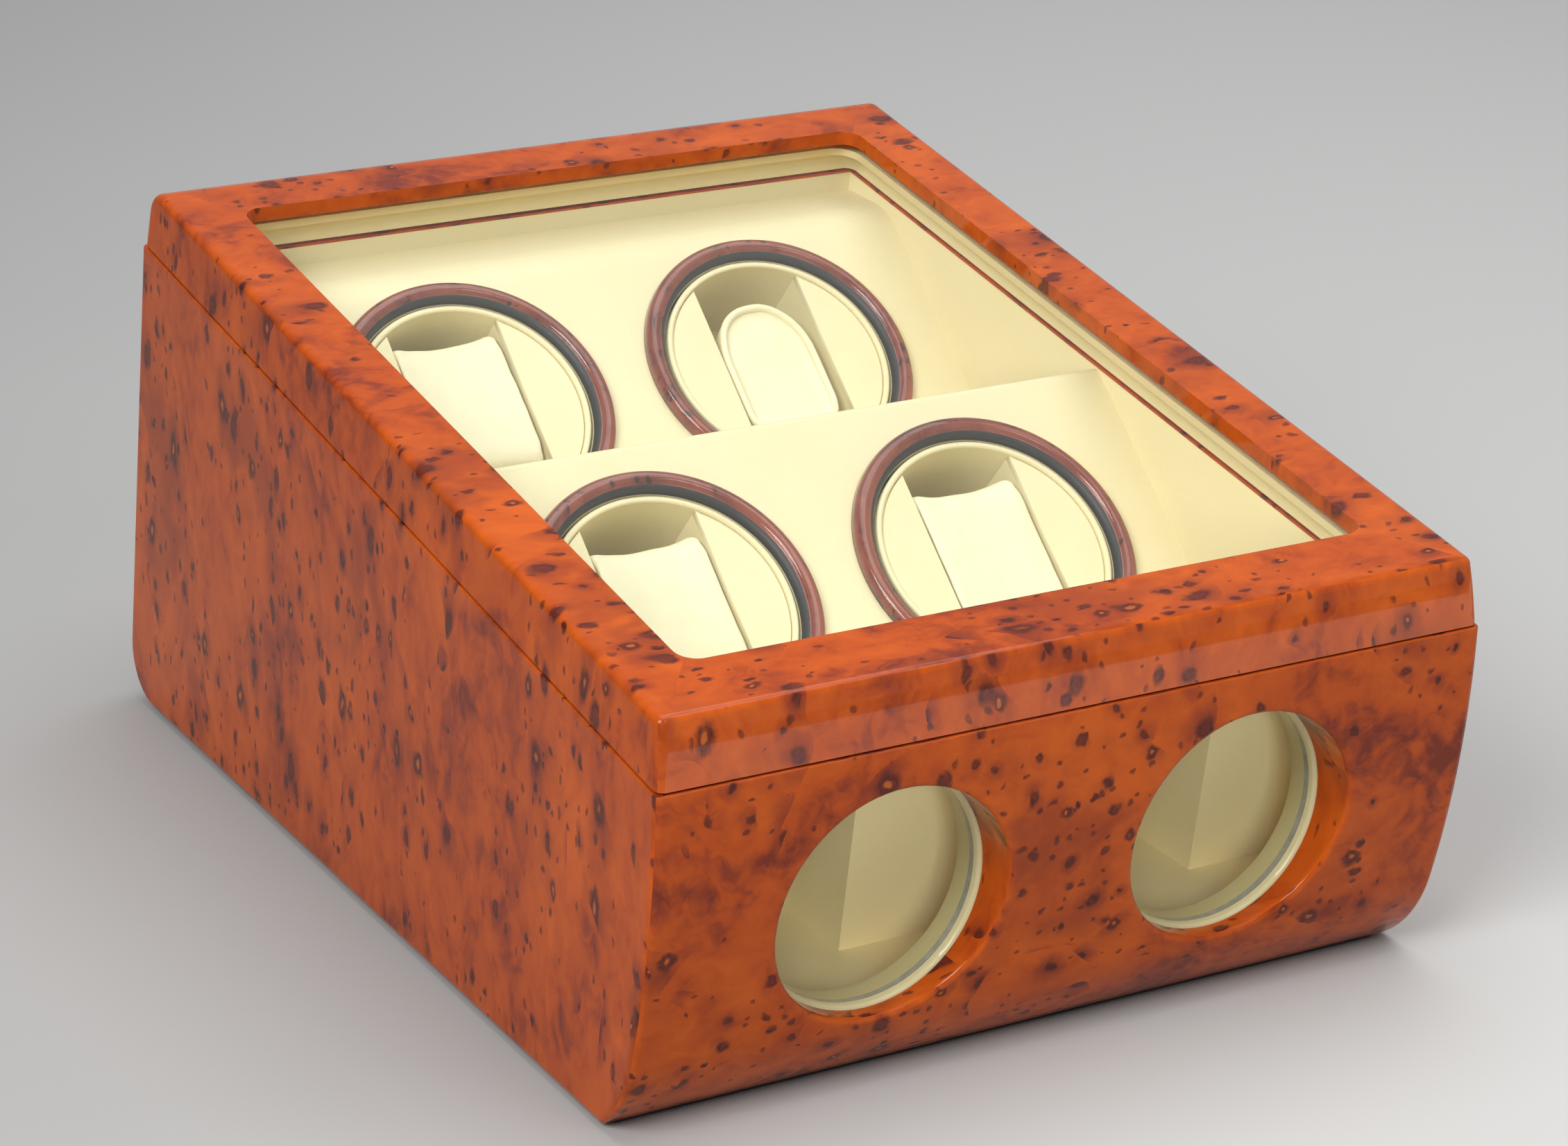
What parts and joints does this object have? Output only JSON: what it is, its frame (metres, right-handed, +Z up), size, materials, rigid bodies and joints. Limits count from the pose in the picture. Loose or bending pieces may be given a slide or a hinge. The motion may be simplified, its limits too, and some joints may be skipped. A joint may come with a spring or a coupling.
{
  "type": "watch display case",
  "caption": "Desk case with a sloping glass lid, turning cups that hold watch cushions, round front windows and a lacquered burl finish.",
  "frame": {"origin": "middle of the footprint, on the surface that the case stands on", "axes": "+Z up, +X to the right seen from the front, the bowed front faces -Y"},
  "size_m": [0.33, 0.4571, 0.224],
  "materials": {
    "burl": "polished burl veneer under clear lacquer",
    "burl_trim": "polished burl veneer under clear lacquer",
    "board": "plain fibreboard",
    "leatherette": "cream, fine grain",
    "cushion": "cream, soft, padded",
    "felt": "black felt",
    "glass": "clear",
    "hinge": "polished",
    "steel": "satin",
    "plastic": "black",
    "rubber": "matte",
    "circuit": "green circuit laminate"
  },
  "bodies": {
    "case": {"back_lining": "leatherette", "base_board": "burl", "base_pad": "felt", "chamber_back": "leatherette", "chamber_blocks": "leatherette", "chamber_floor": "leatherette", "circuit_board": "circuit", "control_panel": "plastic", "front_drive_plate": "board", "front_ledge": "leatherette", "front_left_bezel": "burl_trim", "front_left_motor": "steel", "front_right_bezel": "burl_trim", "front_right_motor": "steel", "front_station_board": "leatherette", "front_wall": "burl", "hinge_body_leaves": "hinge", "hinge_pins": "hinge", "hinge_screws": "hinge", "inlet_socket": "plastic", "left_wall": "burl", "lid_bumpers": "rubber", "middle_riser": "leatherette", "porthole_glass": "glass", "porthole_liners": "leatherette", "porthole_rings": "leatherette", "rear_drive_plate": "board", "rear_left_bezel": "burl_trim", "rear_left_motor": "steel", "rear_right_bezel": "burl_trim", "rear_right_motor": "steel", "rear_station_board": "leatherette", "rear_wall": "burl", "right_wall": "burl", "side_linings": "leatherette", "stub_axles": "steel"},
    "lid": {"lid_frame": "burl", "lid_glass": "glass", "lid_lining": "leatherette", "hinge_lid_leaves": "hinge"},
    "rear_left_turntable": {"rear_left_cup": "leatherette", "rear_left_blocks": "leatherette"},
    "rear_left_watch_cushion": {"rear_left_cushion": "cushion"},
    "rear_left_friction_roller": {"rear_left_roller": "rubber"},
    "rear_right_turntable": {"rear_right_cup": "leatherette", "rear_right_blocks": "leatherette"},
    "rear_right_watch_cushion": {"rear_right_cushion": "cushion"},
    "rear_right_friction_roller": {"rear_right_roller": "rubber"},
    "front_left_turntable": {"front_left_cup": "leatherette", "front_left_blocks": "leatherette"},
    "front_left_watch_cushion": {"front_left_cushion": "cushion"},
    "front_left_friction_roller": {"front_left_roller": "rubber"},
    "front_right_turntable": {"front_right_cup": "leatherette", "front_right_blocks": "leatherette"},
    "front_right_watch_cushion": {"front_right_cushion": "cushion"},
    "front_right_friction_roller": {"front_right_roller": "rubber"},
    "power_rocker_body": {"power_rocker": "plastic"},
    "mode_knob_left_body": {"mode_knob_left": "plastic"},
    "mode_knob_right_body": {"mode_knob_right": "plastic"}
  },
  "joints": [
    {"name": "lid_hinge", "type": "hinge", "parent": "case", "child": "lid", "pos_m": [0, 0.20209, 0.20162], "axis": [-1, 0, 0], "range_deg": [0, 95]},
    {"name": "rear_left_spin", "type": "hinge", "parent": "case", "child": "rear_left_turntable", "pos_m": [-0.068, 0.10433, 0.14886], "axis": [0, -0.6428, 0.766], "continuous": true},
    {"name": "rear_left_draw", "type": "slide", "parent": "rear_left_turntable", "child": "rear_left_watch_cushion", "axis": [0, -0.6428, 0.766], "range_m": [0, 0.03]},
    {"name": "rear_left_drive", "type": "hinge", "parent": "case", "child": "rear_left_friction_roller", "pos_m": [-0.0132, 0.10433, 0.14886], "axis": [0, -0.6428, 0.766], "continuous": true},
    {"name": "rear_right_spin", "type": "hinge", "parent": "case", "child": "rear_right_turntable", "pos_m": [0.068, 0.10433, 0.14886], "axis": [0, -0.6428, 0.766], "continuous": true},
    {"name": "rear_right_draw", "type": "slide", "parent": "rear_right_turntable", "child": "rear_right_watch_cushion", "axis": [0, -0.6428, 0.766], "range_m": [0, 0.03]},
    {"name": "rear_right_drive", "type": "hinge", "parent": "case", "child": "rear_right_friction_roller", "pos_m": [0.0132, 0.10433, 0.14886], "axis": [0, -0.6428, 0.766], "continuous": true},
    {"name": "front_left_spin", "type": "hinge", "parent": "case", "child": "front_left_turntable", "pos_m": [-0.068, -0.06085, 0.12418], "axis": [0, -0.6428, 0.766], "continuous": true},
    {"name": "front_left_draw", "type": "slide", "parent": "front_left_turntable", "child": "front_left_watch_cushion", "axis": [0, -0.6428, 0.766], "range_m": [0, 0.03]},
    {"name": "front_left_drive", "type": "hinge", "parent": "case", "child": "front_left_friction_roller", "pos_m": [-0.0132, -0.06085, 0.12418], "axis": [0, -0.6428, 0.766], "continuous": true},
    {"name": "front_right_spin", "type": "hinge", "parent": "case", "child": "front_right_turntable", "pos_m": [0.068, -0.06085, 0.12418], "axis": [0, -0.6428, 0.766], "continuous": true},
    {"name": "front_right_draw", "type": "slide", "parent": "front_right_turntable", "child": "front_right_watch_cushion", "axis": [0, -0.6428, 0.766], "range_m": [0, 0.03]},
    {"name": "front_right_drive", "type": "hinge", "parent": "case", "child": "front_right_friction_roller", "pos_m": [0.0132, -0.06085, 0.12418], "axis": [0, -0.6428, 0.766], "continuous": true},
    {"name": "power_switch", "type": "hinge", "parent": "case", "child": "power_rocker_body", "pos_m": [-0.04, 0.21861, 0.08432], "axis": [1, 0, 0], "range_deg": [0, 18]},
    {"name": "mode_knob_left_turn", "type": "hinge", "parent": "case", "child": "mode_knob_left_body", "pos_m": [0.012, 0.2196, 0.08447], "axis": [0, 0.989, 0.1478], "range_deg": [-135, 135]},
    {"name": "mode_knob_right_turn", "type": "hinge", "parent": "case", "child": "mode_knob_right_body", "pos_m": [-0.012, 0.2196, 0.08447], "axis": [0, 0.989, 0.1478], "range_deg": [-135, 135]}
  ],
  "couplings": [
    {"joint": "rear_left_drive", "follows": "rear_left_spin", "ratio": -6.7857},
    {"joint": "rear_right_drive", "follows": "rear_right_spin", "ratio": -6.7857},
    {"joint": "front_left_drive", "follows": "front_left_spin", "ratio": -6.7857},
    {"joint": "front_right_drive", "follows": "front_right_spin", "ratio": -6.7857}
  ]
}
